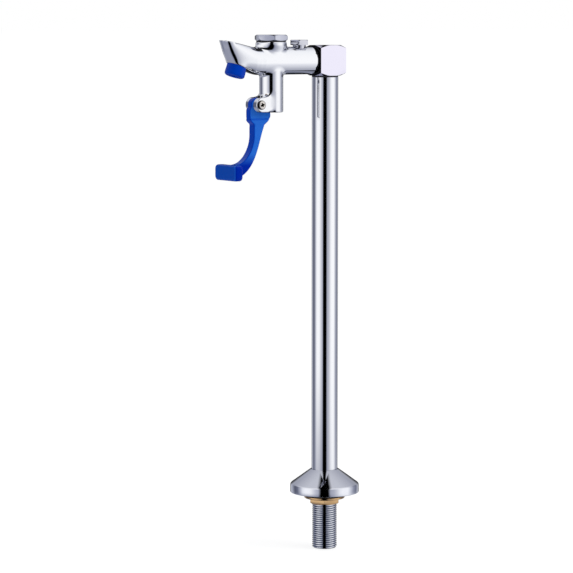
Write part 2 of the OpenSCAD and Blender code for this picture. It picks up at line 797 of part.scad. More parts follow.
module lever() {
    color(blue) translate([0, -pivot_f, pivot_z]) difference() {
        union() {
            side_sheet(lever_t) lever_hub_outline();
            side_sheet(arm_t) lever_arm_outline();
            intersection() {
                translate([0, -paddle_reach + paddle_t, -paddle_drop + paddle_h / 2])
                    rotate([90, 0, 0])
                        linear_extrude(paddle_t)
                            soft_rectangle(paddle_w, paddle_h, paddle_r);
                translate([0, paddle_crown_r - paddle_reach, -paddle_drop - 1])
                    cylinder(r = paddle_crown_r, h = paddle_h + 2, $fn = 128);
            }
        }
        rotate([0, 90, 0]) cylinder(d = pivot_d + 2 * run_gap, h = 2 * arm_t, center = true);
    }
}

module pivot_screw() {
    color(steel) translate([0, -pivot_f, pivot_z]) rotate([0, 90, 0]) difference() {
        union() {
            translate([0, 0, -clevis_w / 2]) cylinder(d = pivot_thread_d, h = clevis_w);
            translate([0, 0, -slot_w / 2]) cylinder(d = pivot_d, h = clevis_w / 2 + slot_w / 2);
            translate([0, 0, clevis_w / 2]) cylinder(d1 = screw_head_d, d2 = screw_head_d - 1.6, h = screw_head_h);
        }
        translate([0, 0, clevis_w / 2 + screw_head_h]) for (turn = [0, 90])
            rotate([0, 0, turn]) cube([screw_head_d * 0.55, 1, 2.4], center = true);
    }
}

// Nozzle

module nozzle_stub() {
    color(brass) nozzle_frame() pipe_piece(stub_d, stub_bore_d, -tip_out + tip_floor + 0.1, stub_in);
}

module nozzle_tip() {
    edge = 1.4;
    r = tip_d / 2;
    hole_r = stub_d / 2 + thread_gap;
    color(blue) nozzle_frame()
        rotate_extrude()
            polygon([[hole_r, tip_in], [r, tip_in], [r, -tip_out + edge], [r - edge, -tip_out],
                [stub_bore_d / 2, -tip_out], [stub_bore_d / 2, tip_floor - tip_out], [hole_r, tip_floor - tip_out]]);
}

base_flange();
deck_gasket();
mounting_shank();
shank_o_rings();
clamp_washer();
lock_nut();
riser_pipe();
riser_top_insert();
riser_top_ring();
block_nipple();
elbow_block();
head_nipple();
head_ring();
head_body();
regulator_gland();
regulator_stem();
regulator_o_ring();
hex_cap();
cap_gasket();
valve_spring();
stem_nut();
valve_disc();
seat_washer();
valve_seat();
valve_stem();
stem_guide();
stem_o_rings();
lever();
pivot_screw();
nozzle_stub();
nozzle_tip();
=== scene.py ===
import math

import bmesh
import bpy
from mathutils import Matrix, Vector
from mathutils.kdtree import KDTree


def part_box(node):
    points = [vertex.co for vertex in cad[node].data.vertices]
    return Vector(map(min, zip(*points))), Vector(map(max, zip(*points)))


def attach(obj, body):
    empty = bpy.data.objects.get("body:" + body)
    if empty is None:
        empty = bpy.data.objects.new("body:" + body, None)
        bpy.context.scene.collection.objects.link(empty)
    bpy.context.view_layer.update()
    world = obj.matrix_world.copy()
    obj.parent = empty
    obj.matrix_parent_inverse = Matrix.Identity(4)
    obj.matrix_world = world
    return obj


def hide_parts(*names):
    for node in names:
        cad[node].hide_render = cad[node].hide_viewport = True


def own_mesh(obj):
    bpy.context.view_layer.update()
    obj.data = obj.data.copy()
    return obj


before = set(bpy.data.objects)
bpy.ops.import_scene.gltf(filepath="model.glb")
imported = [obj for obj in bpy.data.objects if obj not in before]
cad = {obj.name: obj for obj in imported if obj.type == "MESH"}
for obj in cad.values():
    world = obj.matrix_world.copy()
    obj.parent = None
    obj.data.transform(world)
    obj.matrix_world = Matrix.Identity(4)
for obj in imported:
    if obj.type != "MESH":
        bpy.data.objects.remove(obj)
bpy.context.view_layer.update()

# Camera
# It stands ahead and to the right of the faucet, a little above the head, and looks down on the flange.
# The riser stands right of the middle of the picture, so the camera aims to the left of it.
camera_turn = math.radians(55.71)
camera_pan = math.radians(0.844)
camera_dip_degrees = 5.863
camera_far = 2.2
camera_height = 0.4017
toward_camera = Vector((math.sin(camera_turn), -math.cos(camera_turn), 0))
right_of_camera = Vector((math.cos(camera_turn), math.sin(camera_turn), 0))
bpy.ops.object.camera_add(
    location=toward_camera * camera_far + Vector((0, 0, camera_height)),
    rotation=(math.radians(90 - camera_dip_degrees), 0, camera_turn + camera_pan))
camera = bpy.context.object
camera.data.lens = 164.07
camera.data.sensor_width = 36
bpy.context.scene.camera = camera
bpy.context.scene.view_settings.view_transform = "Standard"


# Studio
# A light tent: two wide soft panels left and right of the camera, a bright roof, a dark gap that starts at
# the camera and runs on overhead and behind, and greyer cloth below. Only metal shows it, and the eye sees
# plain white.
def linear(colour):
    """Turns an sRGB hex colour into the linear values that Blender's sockets hold."""
    parts = [int(colour[i:i + 2], 16) / 255 for i in (1, 3, 5)]
    return [p / 12.92 if p <= 0.04045 else ((p + 0.055) / 1.055) ** 2.4 for p in parts] + [1.0]


def add_node(tree, kind, settings=None, links=None, stops=()):
    """Adds a node, sets its sockets and properties by name, and links its inputs.
    stops are the (position, hex colour) pairs of a colour ramp."""
    node = tree.nodes.new(kind)
    for name, value in (settings or {}).items():
        if name in range(9) or name in node.inputs:
            node.inputs[name].default_value = value
        else:
            setattr(node, name, value)
    for name, source in (links or {}).items():
        tree.links.new(source, node.inputs[name])
    for number, (position, colour) in enumerate(stops):
        marks = node.color_ramp.elements
        stop = marks[number] if number < 2 else marks.new(position)
        stop.position, stop.color = position, linear(colour)
    return node


def hang_cloth(measure, low, high, greys):
    """Hangs one cloth of the tent, with (value, grey) pairs along a measure of direction from low to high.
    Middle greys lean to blue, as polished chrome shows them."""
    most_lean = 8
    stops = []
    for value, grey in greys:
        lean = round(most_lean * (1 - abs(grey - 128) / 128))
        colour = "#%02x%02x%02x" % (grey - lean, grey - lean // 2, grey + 2 * lean)
        stops.append(((value - low) / (high - low), colour))
    share = add_node(tree, "ShaderNodeMapRange", {1: low, 2: high}, {0: measure}).outputs[0]
    return add_node(tree, "ShaderNodeValToRGB", links={"Fac": share}, stops=stops).outputs["Color"]


studio = bpy.data.worlds.new("light_tent")
studio.use_nodes = True
bpy.context.scene.world = studio
tree = studio.node_tree
tree.nodes.clear()

# Each direction is told by how far it goes ahead to the camera, aside and upward, and by its turn in degrees.
direction = add_node(tree, "ShaderNodeTexCoord").outputs["Generated"]
to_camera = {"operation": "DOT_PRODUCT", 1: toward_camera}
to_right = {"operation": "DOT_PRODUCT", 1: right_of_camera}
ahead = add_node(tree, "ShaderNodeVectorMath", to_camera, {0: direction}).outputs["Value"]
aside = add_node(tree, "ShaderNodeVectorMath", to_right, {0: direction}).outputs["Value"]
upward = add_node(tree, "ShaderNodeSeparateXYZ", links={0: direction}).outputs["Z"]
width = add_node(tree, "ShaderNodeMath", {"operation": "ABSOLUTE"}, {0: aside}).outputs[0]
turn = add_node(tree, "ShaderNodeMath", {"operation": "ARCTAN2"}, {0: aside, 1: ahead}).outputs[0]
turn = add_node(tree, "ShaderNodeMath", {"operation": "DEGREES"}, {0: turn}).outputs[0]

walls = hang_cloth(turn, -180, 180, [
    (-180, 226), (-162, 215), (-138, 171), (-118, 95), (-103, 113), (-89, 186), (-78, 240), (-67, 254),
    (-56, 254), (-47, 248), (-37, 222), (-28, 197), (-19, 178), (22, 172), (34, 190), (44, 216), (53, 242),
    (64, 254), (86, 254), (99, 212), (113, 158), (131, 119), (162, 221), (180, 226)])
roof = hang_cloth(ahead, -1, 1, [
    (-1, 190), (-0.8, 204), (-0.66, 212), (-0.5, 224), (-0.2, 246), (0.2, 252), (1, 254)])
ground = hang_cloth(aside, -1, 1, [
    (-1, 150), (-0.6, 158), (-0.32, 142), (-0.2, 84), (-0.1, 26), (0, 10), (0.1, 26), (0.2, 84), (0.32, 142),
    (0.435, 162), (0.62, 186), (0.76, 213), (0.86, 232), (0.95, 242), (1, 242)])
roof_edge = {"interpolation_type": "SMOOTHSTEP", 1: 0.25, 2: 0.62}
ground_edge = {"interpolation_type": "SMOOTHSTEP", 1: -0.2, 2: -0.5}
above = add_node(tree, "ShaderNodeMapRange", roof_edge, {0: upward}).outputs[0]
below = add_node(tree, "ShaderNodeMapRange", ground_edge, {0: upward}).outputs[0]
tent = add_node(tree, "ShaderNodeMix", {"data_type": "RGBA"}, {0: above, 6: walls, 7: roof}).outputs[2]
tent = add_node(tree, "ShaderNodeMix", {"data_type": "RGBA"}, {0: below, 6: tent, 7: ground}).outputs[2]

# The gap is dark out to gap_dark on both sides and fades out up to gap_edge. Straight behind, all is dark.
gap_start = add_node(tree, "ShaderNodeMapRange", {1: -0.9, 2: -0.1, 3: -0.02, 4: 0.12}, {0: ahead}).outputs[0]
gap_more = add_node(tree, "ShaderNodeMapRange", {1: -0.1, 2: 0.6, 3: 0.0, 4: 0.10}, {0: ahead}).outputs[0]
gap_dark = add_node(tree, "ShaderNodeMath", {"operation": "ADD"}, {0: gap_start, 1: gap_more}).outputs[0]
gap_edge = add_node(tree, "ShaderNodeMapRange", {1: -0.1, 2: 0.6, 3: 0.22, 4: 0.35}, {0: ahead}).outputs[0]
gap_light = add_node(tree, "ShaderNodeMapRange", links={0: width, 1: gap_dark, 2: gap_edge}).outputs[0]
rear_light = add_node(tree, "ShaderNodeMapRange", {1: -0.95, 2: -0.84, 3: 0.12}, {0: ahead}).outputs[0]
share = add_node(tree, "ShaderNodeMath", {"operation": "MULTIPLY"}, {0: gap_light, 1: rear_light}).outputs[0]
tent = add_node(tree, "ShaderNodeVectorMath", {"operation": "SCALE"}, {0: tent, "Scale": share}).outputs[0]

rays = add_node(tree, "ShaderNodeLightPath")
seen_in_metal = add_node(tree, "ShaderNodeBackground", {"Strength": 1.2}, {"Color": tent}).outputs[0]
soft_fill = add_node(tree, "ShaderNodeBackground", {"Color": linear("#f8f9fb"), "Strength": 0.85}).outputs[0]
plain_white = add_node(tree, "ShaderNodeBackground", {"Color": linear("#ffffff"), "Strength": 1.0}).outputs[0]
light = soft_fill
for ray, shade in (
        ("Is Glossy Ray", seen_in_metal),
        ("Is Transmission Ray", plain_white),
        ("Is Camera Ray", plain_white)):
    light = add_node(tree, "ShaderNodeMixShader", links={0: rays.outputs[ray], 1: light, 2: shade}).outputs[0]
add_node(tree, "ShaderNodeOutputWorld", links={"Surface": light})

key_place = toward_camera * 0.55 + right_of_camera * 1.5 + Vector((0, 0, 1.5))
key_aim = Vector((0, 0, 0.3)) - key_place
bpy.ops.object.select_all(action="DESELECT")
bpy.ops.object.light_add(
    type="AREA", location=key_place, rotation=key_aim.to_track_quat("-Z", "Y").to_euler())
key_light = bpy.context.object
key_light.data.shape = "DISK"
key_light.data.size = 1.1
key_light.data.energy = 17
key_light.visible_glossy = False

# Floor
# Pale matt card under the shank's end, lit a little so that it runs out white. It takes the faucet's soft
# shadow, and the chrome doesn't mirror it.
floor_low = -0.0485
bpy.ops.mesh.primitive_plane_add(size=160, location=(0, 0, floor_low))
floor = bpy.context.object
floor.name = "floor"
card = bpy.data.materials.new("white_card")
card.use_nodes = True
tree = card.node_tree
tree.nodes.clear()
shaded = add_node(tree, "ShaderNodeBsdfDiffuse", {"Color": linear("#fafafa")}).outputs[0]
lit = add_node(tree, "ShaderNodeEmission", {"Color": linear("#ffffff"), "Strength": 1.1}).outputs[0]
seen = add_node(tree, "ShaderNodeLightPath").outputs["Is Camera Ray"]
share = add_node(tree, "ShaderNodeMath", {"operation": "MULTIPLY", 1: 0.72}, {0: seen}).outputs[0]
mixed = add_node(tree, "ShaderNodeMixShader", links={0: share, 1: shaded, 2: lit}).outputs[0]
add_node(tree, "ShaderNodeOutputMaterial", links={"Surface": mixed})
floor.data.materials.append(card)
floor.visible_glossy = False

# Deck flange
# A hollow brass cone with an upright rim and six ribs below, turned, polished and chromed, screwed on the
# shank. Its soft edges carry the fine bright lines of the plate. The cone is painted a greyer tone than the
# rim: painted shade for the dimmer light it mirrors.
mm = 0.001
weld = 1e-6


def take(piece):
    """Makes a piece the active one and the only one that is selected."""
    bpy.ops.object.select_all(action="DESELECT")
    piece.select_set(True)
    bpy.context.view_layer.objects.active = piece


def place(piece, location=(0, 0, 0), turned=(0, 0, 0)):
    """Moves a piece by millimetres and turns it by degrees, and applies both to its mesh."""
    take(piece)
    piece.location = Vector(location) * mm
    piece.rotation_euler = [math.radians(angle) for angle in turned]
    bpy.ops.object.transform_apply(location=True, rotation=True, scale=True)
    return piece


def copy_of(piece):
    """A copy of a piece with its own mesh."""
    copy = piece.copy()
    copy.data = piece.data.copy()
    bpy.context.collection.objects.link(copy)
    return copy


def draw_outline(name, corners, rounded=(), closed=True):
    """Draws a flat outline of (across, up) corners in millimetres and leaves it open in edit mode.
    rounded gives (corner number, radius) for each corner that is rounded."""
    bpy.ops.object.select_all(action="DESELECT")
    bpy.ops.mesh.primitive_plane_add(size=mm)
    piece = bpy.context.object
    piece.name = piece.data.name = name
    bpy.ops.object.mode_set(mode="EDIT")
    bpy.ops.mesh.merge(type="CENTER")
    places = [Vector((across, 0, up)) * mm for across, up in corners]
    bpy.ops.transform.translate(value=places[0])
    for here, there in zip(places, places[1:] + places[:1] * closed):
        bpy.ops.mesh.extrude_vertices_move(TRANSFORM_OT_translate={"value": there - here})
    bpy.ops.mesh.select_all(action="SELECT")
    bpy.ops.mesh.remove_doubles(threshold=weld)
    for number, radius in rounded:
        mesh = bmesh.from_edit_mesh(piece.data)
        for vertex in mesh.verts:
            vertex.select_set((vertex.co - places[number]).length < 2 * weld)
        mesh.select_flush_mode()
        bmesh.update_edit_mesh(piece.data)
        segments = max(3, min(16, round(radius * 3)))
        bpy.ops.mesh.bevel(offset=radius * mm, segments=segments, affect="VERTICES")
    bpy.ops.mesh.select_all(action="SELECT")
    return piece


def turn_piece(name, corners, rounded=(), steps=96):
    """Turns an outline of (radius, height) corners round the upright axis, as on a lathe."""
    piece = draw_outline(name, corners, rounded, closed=corners[0][0] > 0)
    bpy.ops.mesh.spin(steps=steps, angle=math.tau, center=(0, 0, 0), axis=(0, 0, 1))
    bpy.ops.mesh.select_all(action="SELECT")
    bpy.ops.mesh.remove_doubles(threshold=weld)
    bpy.ops.mesh.normals_make_consistent(inside=False)
    bpy.ops.object.mode_set(mode="OBJECT")
    return piece


def saw_plate(name, corners, width, rounded=()):
    """Cuts a plate of that width, standing along the head, from a (forward, height) outline."""
    piece = draw_outline(name, corners, rounded)
    bpy.ops.mesh.edge_face_add()
    bpy.ops.mesh.extrude_region_move(TRANSFORM_OT_translate={"value": (0, width * mm, 0)})
    bpy.ops.mesh.select_all(action="SELECT")
    bpy.ops.transform.translate(value=(0, -width / 2 * mm, 0))
    bpy.ops.mesh.normals_make_consistent(inside=False)
    bpy.ops.object.mode_set(mode="OBJECT")
    return place(piece, turned=(0, 0, -90))


def apply_step(piece, kind, **settings):
    """Adds one modifier with its settings to a piece and applies it."""
    take(piece)
    step = piece.modifiers.new("step", kind)
    for name, value in settings.items():
        setattr(step, name, value)
    bpy.ops.object.modifier_apply(modifier=step.name)
    return piece


def ease_edges(piece, width, segments, angle):
    """Bevels all edges of a piece that are sharper than the angle in degrees. The width is in millimetres."""
    return apply_step(
        piece, "BEVEL", width=width * mm, segments=segments, limit_method="ANGLE",
        angle_limit=math.radians(angle), use_clamp_overlap=True)


def cut(piece, tool, operation="DIFFERENCE"):
    """Cuts a piece with a tool, or with INTERSECT or UNION trims or joins them, and puts the tool away."""
    apply_step(piece, "BOOLEAN", operation=operation, object=tool, solver="MANIFOLD")
    piece.data.materials.clear()
    bpy.data.objects.remove(tool)
    return piece


def smooth(piece, angle=32):
    """Shades a piece smooth, apart from edges sharper than the angle."""
    take(piece)
    bpy.ops.object.shade_smooth_by_angle(angle=math.radians(angle))


def start_finish(name):
    """Opens a new material with one principled shader and returns its tree, shader and place coordinates."""
    material = bpy.data.materials.new(name)
    material.use_nodes = True
    tree = material.node_tree
    shader = tree.nodes["Principled BSDF"]
    return material, tree, shader, add_node(tree, "ShaderNodeTexCoord").outputs["Object"]


def roughen(tree, shader, spots, least, most, relief, strength, depth):
    """Lets roughness run from least to most with a pattern, and raises another one by a depth in metres."""
    rough = add_node(tree, "ShaderNodeMapRange", {3: least, 4: most}, {0: spots})
    bump = add_node(tree, "ShaderNodeBump", {"Strength": strength, "Distance": depth}, {"Height": relief})
    tree.links.new(rough.outputs[0], shader.inputs["Roughness"])
    tree.links.new(bump.outputs[0], shader.inputs["Normal"])


def two_tones(material, along, start, end, first, second):
    """Colours a finish by place: the first colour up to start and the second from end on. Both are in metres
    along X, Y or Z, or out from the upright axis where along is radius."""
    tree = material.node_tree
    where = tree.nodes["Texture Coordinate"].outputs["Object"]
    if along == "radius":
        flat = add_node(tree, "ShaderNodeVectorMath", {"operation": "MULTIPLY", 1: (1, 1, 0)}, {0: where})
        length = add_node(tree, "ShaderNodeVectorMath", {"operation": "LENGTH"}, {0: flat.outputs[0]})
        measure = length.outputs["Value"]
    else:
        measure = add_node(tree, "ShaderNodeSeparateXYZ", links={0: where}).outputs[along]
    share = add_node(tree, "ShaderNodeMapRange", {1: start, 2: end}, {0: measure}).outputs[0]
    tones = {"data_type": "RGBA", 6: linear(first), 7: linear(second)}
    colour = add_node(tree, "ShaderNodeMix", tones, {0: share}).outputs[2]
    tree.links.new(colour, tree.nodes["Principled BSDF"].inputs["Base Color"])


# Polished chrome plate: a mirror with a thin haze that wanders over some 25 mm, left by wiping, and
# under it the faint waviness, about 6 mm long, that hand polishing leaves in the brass.
def chrome_plate(name, waviness=0.02, tone="#e5e6ea"):
    material, tree, shader, where = start_finish(name)
    shader.inputs["Base Color"].default_value = linear(tone)
    shader.inputs["Metallic"].default_value = 1.0
    haze = add_node(
        tree, "ShaderNodeTexNoise", {"Scale": 1000 / 25, "Detail": 3.0, "Roughness": 0.6}, {"Vector": where})
    wave = add_node(tree, "ShaderNodeTexNoise", {"Scale": 1000 / 6, "Detail": 1.0}, {"Vector": where})
    roughen(tree, shader, haze.outputs["Fac"], 0.025, 0.075, wave.outputs["Fac"], waviness, 0.0006)
    return material


thread_hole = 10.53
hub_r = 14.5
rim_r = 29.25
rim_in = 26.65
rim_high = 7.3
cone_top = 20
flange = turn_piece("deck_flange", [
    (thread_hole, 0), (hub_r, 0), (hub_r, 14.67), (rim_in, 5.87), (rim_in, 0), (rim_r, 0), (rim_r, rim_high),
    (11.85, cone_top), (11.15, cone_top), (11.15, 14), (thread_hole, 14)],
    [(5, 0.7), (6, 1.1), (7, 0.35), (4, 0.3)], steps=160)
rib_count = 6
rib = saw_plate("flange_rib", [(14, 2), (27.4, 2), (27.4, 6.3), (14, 15.9)], 2)
for number in range(rib_count):
    cut(flange, place(copy_of(rib), turned=(0, 0, 360 / rib_count * number + 90)), "UNION")
bpy.data.objects.remove(rib)
smooth(flange)
flange_plate = chrome_plate("turned_chrome_plate", 0.05)
# Painted shade: the cone above 7.8 mm is greyer than the rim below 6.8 mm.
two_tones(flange_plate, "Z", 0.0068, 0.0078, "#dcdee6", "#b4b6c0")
flange.data.materials.append(flange_plate)
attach(flange, "root")
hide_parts("base_flange")


# Threaded shank
# Chromed brass with a right-handed G1/2 thread, 14 to the inch, bored through, with a chamfered end.
# Its spigot stands in the riser with two seal grooves. The thread's roots are a dark grey: partly the thin,
# dark plate there, partly painted shade for the deep roots.
def wind(piece, rise, turns, steps):
    """Winds a flat outline round the upright axis with a rise in metres to a turn, and closes its ends."""
    apply_step(
        piece, "SCREW", angle=math.tau, screw_offset=rise, iterations=turns, steps=steps, render_steps=steps)
    bpy.ops.object.mode_set(mode="EDIT")
    bpy.ops.mesh.select_all(action="SELECT")
    bpy.ops.mesh.remove_doubles(threshold=weld)
    bpy.ops.mesh.fill_holes(sides=0)
    bpy.ops.mesh.select_all(action="SELECT")
    bpy.ops.mesh.normals_make_consistent(inside=False)
    bpy.ops.object.mode_set(mode="OBJECT")


thread_r = 10.4775
root_r = 9.32
pitch = 25.4 / 14
shank_low, shank_top = -48, 34
water_r = 6.5
spigot_r, seal_r = 9.55, 8.31
root_half, crest_half = 0.14, 0.74
shank = turn_piece("threaded_shank", [
    (water_r, shank_low), (thread_r - 1, shank_low), (thread_r, shank_low + 1), (thread_r, 14),
    (spigot_r, 14), (spigot_r, 20.26), (seal_r, 20.26), (seal_r, 21.74), (spigot_r, 21.74),
    (spigot_r, 27.26), (seal_r, 27.26), (seal_r, 28.74), (spigot_r, 28.74),
    (spigot_r, 33.2), (8.75, shank_top), (water_r, shank_top)], [(0, 0.3), (1, 0.3)])
groove = draw_outline("thread_groove", [
    (root_r, -root_half), (root_r, root_half), (thread_r, crest_half), (thread_r + 0.5, crest_half),
    (thread_r + 0.5, -crest_half), (thread_r, -crest_half)])
bpy.ops.object.mode_set(mode="OBJECT")
wind(groove, pitch * mm, 36, 48)
cut(shank, place(groove, (0, 0, shank_low - 3.2)))
smooth(shank, 25)
thread_plate = chrome_plate("chromed_thread", 0.03)
# Dark grey roots within 9.6 mm of the axis, partly thin plate and partly painted shade; bright chrome from
# 10.3 mm.
two_tones(thread_plate, "radius", 0.0096, 0.0103, "#969ba8", "#f4f5f9")
shank.data.materials.append(thread_plate)
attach(shank, "root")
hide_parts("mounting_shank")


# Rubber seals
# Black nitrile rubber: the deck gasket, the clamp washer and every ring and washer on the water's way.
# Moulded and matt, with a fine grain of about 0.4 mm from the mould and a little dust.
def black_rubber(name):
    material, tree, shader, where = start_finish(name)
    grain = add_node(tree, "ShaderNodeTexNoise", {"Scale": 1000 / 0.4, "Detail": 2.0}, {"Vector": where})
    dust = add_node(
        tree, "ShaderNodeTexNoise", {"Scale": 1000 / 7, "Detail": 4.0, "Roughness": 0.65}, {"Vector": where})
    tones = {"data_type": "RGBA", 6: linear("#17171a"), 7: linear("#2c2c30")}
    colour = add_node(tree, "ShaderNodeMix", tones, {0: dust.outputs["Fac"]})
    tree.links.new(colour.outputs[2], shader.inputs["Base Color"])
    roughen(tree, shader, dust.outputs["Fac"], 0.5, 0.75, grain.outputs["Fac"], 0.25, 0.0001)
    return material


def refinish(names, material):
    """Gives a finer material to CAD nodes that keep their shape."""
    for name in names:
        cad[name].data.materials.clear()
        cad[name].data.materials.append(material)


rubber = black_rubber("nitrile_rubber")
refinish((
    "deck_gasket", "shank_o_rings", "regulator_o_ring", "cap_gasket", "seat_washer", "stem_o_rings"), rubber)

washer = turn_piece(
    "deck_washer", [(thread_hole, -3), (16.5, -3), (16.5, 0), (thread_hole, 0)],
    [(1, 0.5), (2, 0.5), (0, 0.2), (3, 0.2)])
smooth(washer)
washer.data.materials.append(rubber)
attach(washer, "deck_nut")
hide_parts("clamp_washer")

pipe_r = 11.1
pipe_top = 352.8
block_low = 354.0
nipple_hole = 7.05
top_ring = turn_piece("pipe_top_ring", [
    (nipple_hole, pipe_top), (pipe_r, pipe_top), (pipe_r, block_low), (nipple_hole, block_low)],
    [(1, 0.25), (2, 0.25)])
smooth(top_ring)
top_ring.data.materials.append(rubber)
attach(top_ring, "root")
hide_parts("riser_top_ring")

head_z = 366.7
block_half = 12.7
to_the_front = (90, 0, 0)
neck_ring = turn_piece(
    "head_neck_ring", [(nipple_hole, 0), (10.3, 0), (10.3, 1.4), (nipple_hole, 1.4)], [(1, 0.3), (2, 0.3)])
place(neck_ring, (0, -block_half, head_z), to_the_front)
smooth(neck_ring)
neck_ring.data.materials.append(rubber)
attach(neck_ring, "root")
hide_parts("head_ring")


# Deck nut
# Bare turned brass: a thin hexagon 24 mm across its flats with its lower corners turned off, and a round
# collar that presses the rubber washer. The tool left rings 0.6 mm apart, and handling left duller spots.
def turned_brass(name):
    material, tree, shader, where = start_finish(name)
    shader.inputs["Metallic"].default_value = 1.0
    spots = add_node(
        tree, "ShaderNodeTexNoise", {"Scale": 1000 / 5, "Detail": 4.0, "Roughness": 0.6}, {"Vector": where})
    tones = {"data_type": "RGBA", 6: linear("#b48f64"), 7: linear("#c8a980")}
    colour = add_node(tree, "ShaderNodeMix", tones, {0: spots.outputs["Fac"]})
    tree.links.new(colour.outputs[2], shader.inputs["Base Color"])
    lathe = {"bands_direction": "Z", "Scale": 1000 / 0.592 * math.tau / 20, "Distortion": 0.4}
    rings = add_node(tree, "ShaderNodeTexWave", lathe, {"Vector": where})
    roughen(tree, shader, spots.outputs["Fac"], 0.1, 0.24, rings.outputs["Fac"], 0.12, 0.00003)
    return material


def turn_hexagon(name, across_flats, low, high, turn, off_top, off_bottom):
    """Makes a hexagon prism whose top or bottom corners are turned off at 28 degrees, with soft edges."""
    corner = across_flats / 2 / math.cos(math.radians(30))
    reach = corner + 1
    flat = across_flats / 2 - 0.2
    drop = (reach - flat) * math.tan(math.radians(28))
    bpy.ops.object.select_all(action="DESELECT")
    bpy.ops.mesh.primitive_cylinder_add(vertices=6, radius=corner * mm, depth=(high - low) * mm)
    piece = bpy.context.object
    piece.name = piece.data.name = name
    place(piece, (0, 0, (low + high) / 2), (0, 0, turn + 30))
    blank = turn_piece("blank", [
        (0, low), (flat if off_bottom else reach, low), (reach, low + drop * off_bottom),
        (reach, high - drop * off_top), (flat if off_top else reach, high), (0, high)])
    cut(piece, blank, "INTERSECT")
    return ease_edges(piece, 0.18, 2, 18)


bare_brass = turned_brass("turned_brass")
nut = turn_hexagon("deck_nut", 24, -9.7, -5, 25, off_top=False, off_bottom=True)
collar = turn_piece("collar", [(0, -5.05), (17.2, -5.05), (17.2, -3), (0, -3)], [(1, 0.4), (2, 0.4)])
cut(nut, collar, "UNION")
cut(nut, turn_piece("bore", [(0, -12), (thread_hole, -12), (thread_hole, -1), (0, -1)]))
smooth(nut)
nut.data.materials.append(bare_brass)
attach(nut, "deck_nut")
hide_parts("lock_nut")

# Riser pipe
# Drawn brass tube, 22.2 mm across with a 1.5 mm wall, polished and chromed. Its ends are deburred, and it
# stands on the shank's shoulder inside the flange.
pipe_in = 9.6
riser = turn_piece(
    "riser_tube", [(pipe_in, 14), (pipe_r, 14), (pipe_r, pipe_top), (pipe_in, pipe_top)],
    [(1, 0.3), (2, 0.35)], steps=128)
smooth(riser)
riser.data.materials.append(chrome_plate("drawn_tube_chrome", waviness=0.004))
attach(riser, "root")
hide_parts("riser_pipe")

# Brass fittings inside
# The insert in the riser's top, the two nipples and the small turned pieces of the valve. They keep the
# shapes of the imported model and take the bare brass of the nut.
refinish((
    "riser_top_insert", "block_nipple", "head_nipple", "regulator_stem", "stem_nut", "valve_disc",
    "valve_seat", "stem_guide", "nozzle_stub"), bare_brass)

# Elbow block
# A 25.4 mm square brass block that turns the water forward. Its top and bottom are turned to a shallow
# cone, so arcs close its four faces, and all of it is polished and chromed. Its face to the head is painted
# near black: painted shade for the dark gap at the head.
block_side = 25.4
block_high = 379.4
cone_in, cone_out = 13, 25.4
drop = (cone_out - cone_in) * math.tan(math.radians(26))
bpy.ops.object.select_all(action="DESELECT")
bpy.ops.mesh.primitive_cube_add(size=block_side * mm)
elbow = bpy.context.object
elbow.name = elbow.data.name = "square_elbow"
place(elbow, (0, 0, (block_low + block_high) / 2))
blank = turn_piece("blank", [
    (0, block_low), (cone_in, block_low), (cone_out, block_low + drop), (cone_out, block_high - drop),
    (cone_in, block_high), (0, block_high)], steps=128)
cut(elbow, blank, "INTERSECT")
ease_edges(elbow, 0.5, 3, 15)
upright_way = turn_piece("water_way", [
    (0, 353), (nipple_hole, 353), (nipple_hole, 359.2), (4.8, 359.2), (4.8, 371.4), (0, 371.4)], steps=64)
cut(elbow, upright_way)
forward_way = turn_piece("water_way", [
    (0, 0), (4.6, 0), (4.6, 7.5), (nipple_hole, 7.5), (nipple_hole, 13), (0, 13)], steps=64)
cut(elbow, place(forward_way, (0, 0, head_z), to_the_front))
smooth(elbow, 24)
block_plate = chrome_plate("block_chrome", 0.012)
# Painted shade: the face to the head, beyond 12.5 mm forward, is near black.
two_tones(block_plate, "Y", -0.0125, -0.0127, "#dddae9", "#15151a")
elbow.data.materials.append(block_plate)
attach(elbow, "root")
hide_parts("elbow_block")


# Head casting
# One brass casting: the tube, the boss under the cap, the valve barrel with its clevis, and the beak over
# the nozzle. Ground and polished by hand, so its inner corners run out softly, then bored and chromed.
def list_corners(piece):
    """Search trees of points along the outer (False) and the inner (True) corners of a closed mesh."""
    least_fold = math.radians(14)
    spacing = 0.0003
    corners = {False: [], True: []}
    mesh = bmesh.new()
    mesh.from_mesh(piece.data)
    for edge in mesh.edges:
        fold = edge.calc_face_angle_signed(0)
        if len(edge.link_faces) == 2 and abs(fold) > least_fold:
            ends = [vertex.co.copy() for vertex in edge.verts]
            count = max(1, int(edge.calc_length() / spacing))
            corners[fold < 0] += [ends[0].lerp(ends[1], i / count) for i in range(count + 1)]
    mesh.free()
    trees = {}
    for inner, points in corners.items():
        trees[inner] = KDTree(len(points))
        for number, point in enumerate(points):
            trees[inner].insert(point, number)
        trees[inner].balance()
    return trees


